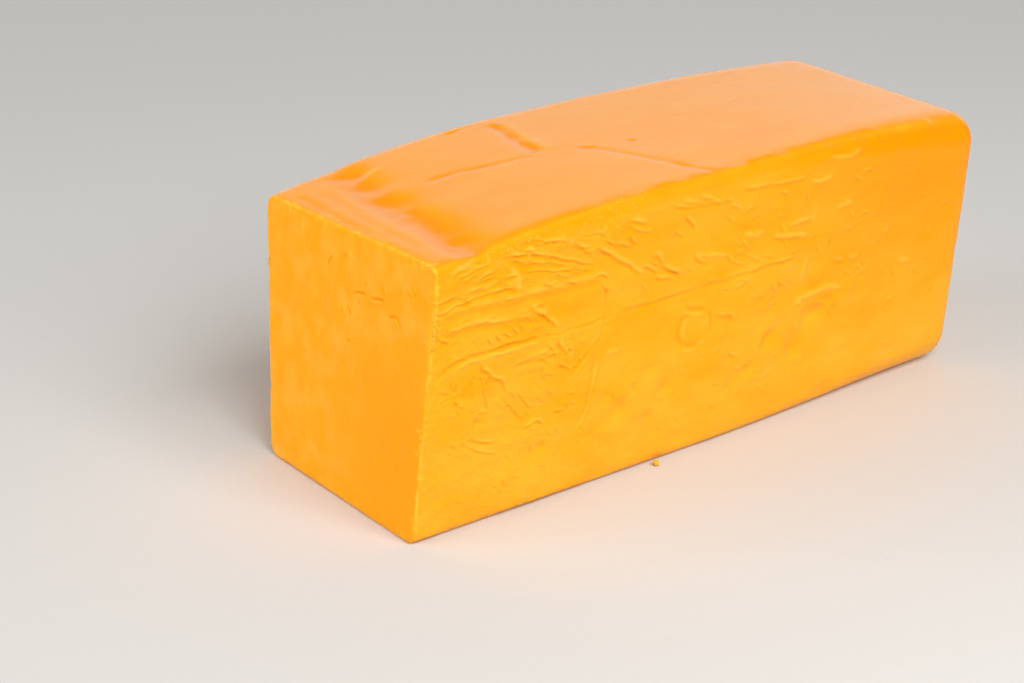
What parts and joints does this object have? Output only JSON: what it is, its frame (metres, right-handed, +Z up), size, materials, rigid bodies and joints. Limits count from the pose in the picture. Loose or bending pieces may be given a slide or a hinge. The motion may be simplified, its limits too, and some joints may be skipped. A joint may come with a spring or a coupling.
{
  "type": "cheddar cheese block",
  "caption": "Long block of orange cheddar with a soft crowned top, cut flat across at one end, with film wrinkles in its skin.",
  "frame": {"origin": "middle of the foot, under the middle of the block's box", "axes": "+X runs along the block from the cut face to the far end, -Y is the front side, +Z is up"},
  "size_m": [0.2274, 0.0886, 0.089],
  "materials": {
    "cheddar": "satin and slightly oily on the skin, matt where it is cut"
  },
  "bodies": {
    "root": {"cheese_block": "cheddar"}
  },
  "joints": []
}
